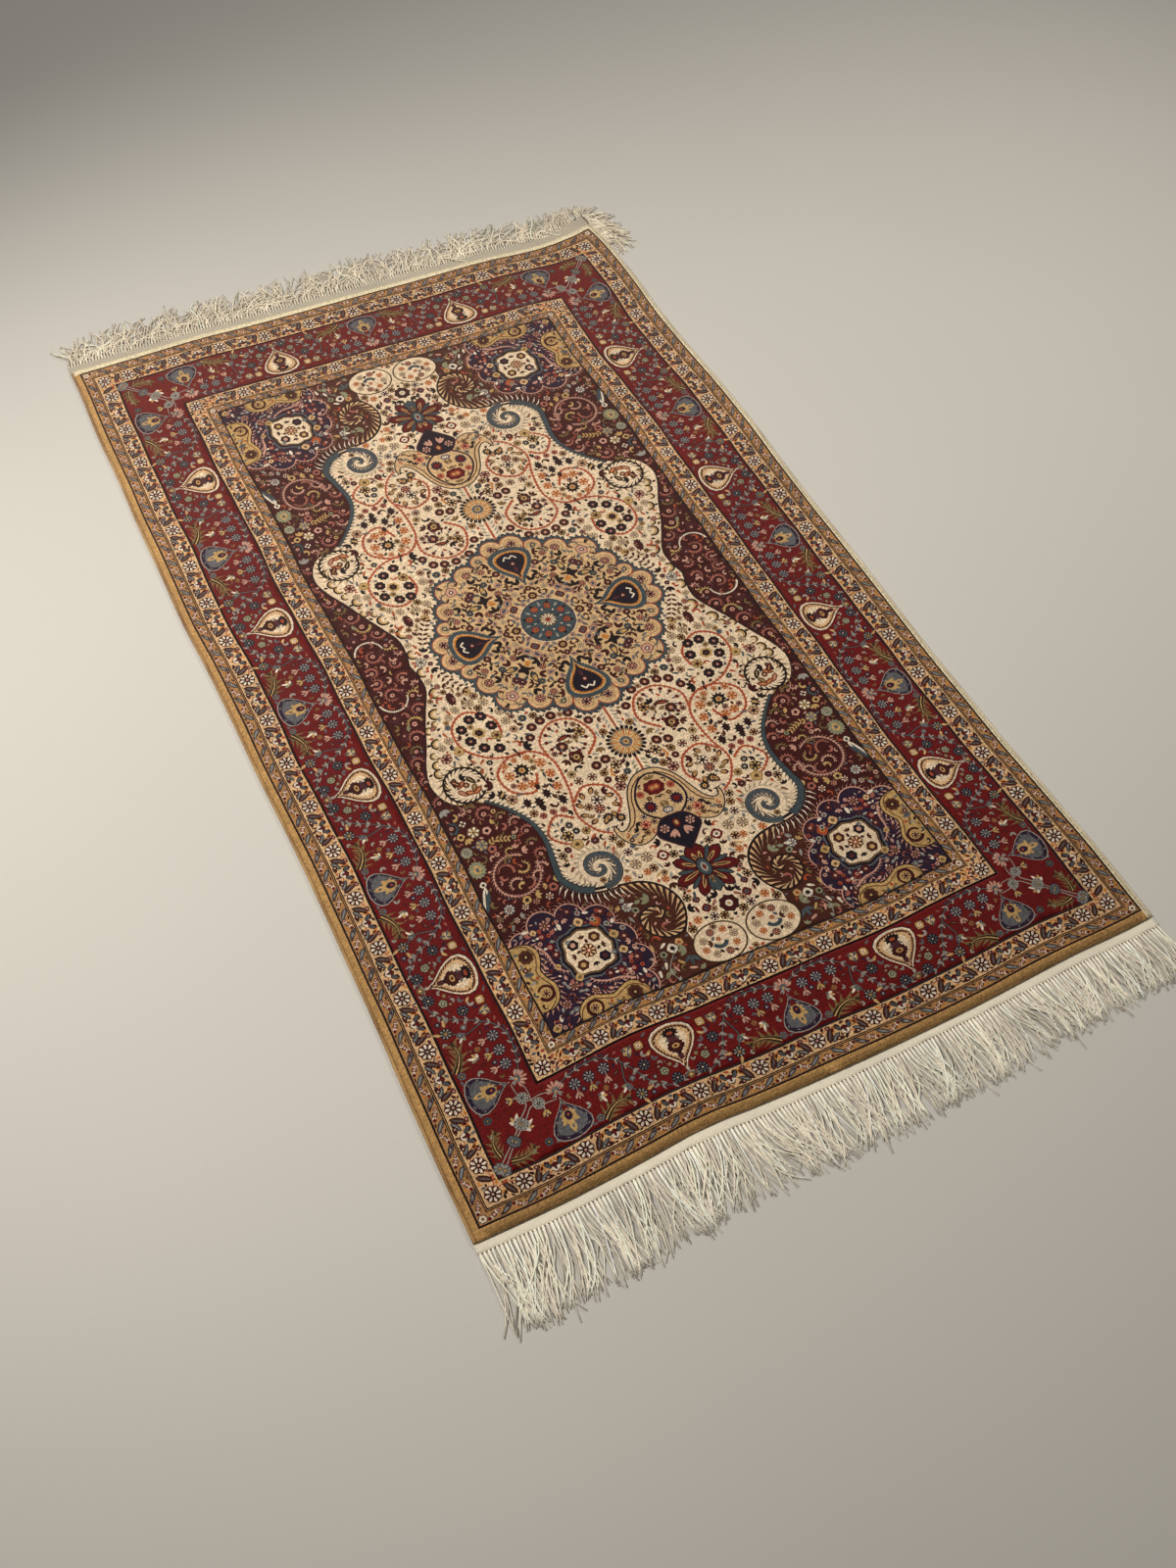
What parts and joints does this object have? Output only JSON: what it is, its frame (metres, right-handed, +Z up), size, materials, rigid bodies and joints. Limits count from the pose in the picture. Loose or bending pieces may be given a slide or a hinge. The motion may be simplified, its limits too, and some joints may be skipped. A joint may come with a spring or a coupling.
{
  "type": "silk rug",
  "caption": "Flat hand-knotted rug with a scalloped medallion field, a red border between pale guard bands, overcast sides, woven headings and a knotted warp fringe at each end.",
  "frame": {"origin": "middle of the knotted cloth, on the underside that lies on the floor", "axes": "+X across the rug, +Y along it towards the end whose fringe leans over, +Z up out of the pile"},
  "size_m": [0.9819, 1.7121, 0.005],
  "materials": {
    "silk_pile": "satin",
    "gold_silk": "satin",
    "pale_warp": "matte"
  },
  "bodies": {
    "root": {"rug_body": "silk_pile", "selvedge_left": "gold_silk", "selvedge_right": "gold_silk", "heading_near": "pale_warp", "heading_far": "pale_warp", "fringe_near": "pale_warp", "fringe_far": "pale_warp"}
  },
  "joints": []
}
